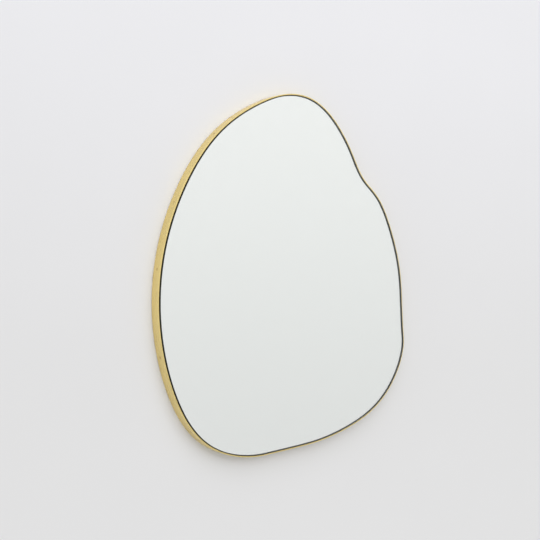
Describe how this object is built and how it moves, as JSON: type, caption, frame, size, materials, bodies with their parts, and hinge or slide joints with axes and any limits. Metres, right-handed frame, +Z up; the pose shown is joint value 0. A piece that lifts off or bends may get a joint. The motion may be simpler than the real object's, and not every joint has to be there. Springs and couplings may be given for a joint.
{
  "type": "wall mirror",
  "caption": "Wall mirror with an irregular pebble outline, edged by a flat brass band that is screwed to its board, hung on hooked rails.",
  "frame": {"origin": "on the wall, midway between the screw holes in the wall rail's back face", "axes": "+X to the viewer's right, +Z up, -Y out of the wall towards the viewer"},
  "size_m": [0.5304, 0.0301, 0.6575],
  "materials": {
    "brass": "brushed along the band, clear waxed",
    "screw_brass": "filed flush with the band",
    "glass": "clear float glass, polished arris",
    "silver": "silvered, paint-backed",
    "tape": "white foam tape",
    "board": "sanded birch plywood, bare",
    "aluminium": "mill finish extrusion",
    "steel": "zinc plated",
    "rubber": "moulded, matt"
  },
  "bodies": {
    "wall_rail": {"wall_rail": "aluminium"},
    "mirror": {"brass_band": "brass", "band_screws": "screw_brass", "mirror_glass": "glass", "silver_backing": "silver", "mirror_tape_1": "tape", "mirror_tape_2": "tape", "mirror_tape_3": "tape", "mirror_tape_4": "tape", "mirror_tape_5": "tape", "backing_board": "board", "board_rail": "aluminium", "board_rail_screws": "steel", "bumper_left": "rubber", "bumper_right": "rubber"}
  },
  "joints": [
    {"name": "lift_off", "type": "slide", "parent": "wall_rail", "child": "mirror", "axis": [0, 0, 1], "range_m": [0, 0.012]}
  ]
}
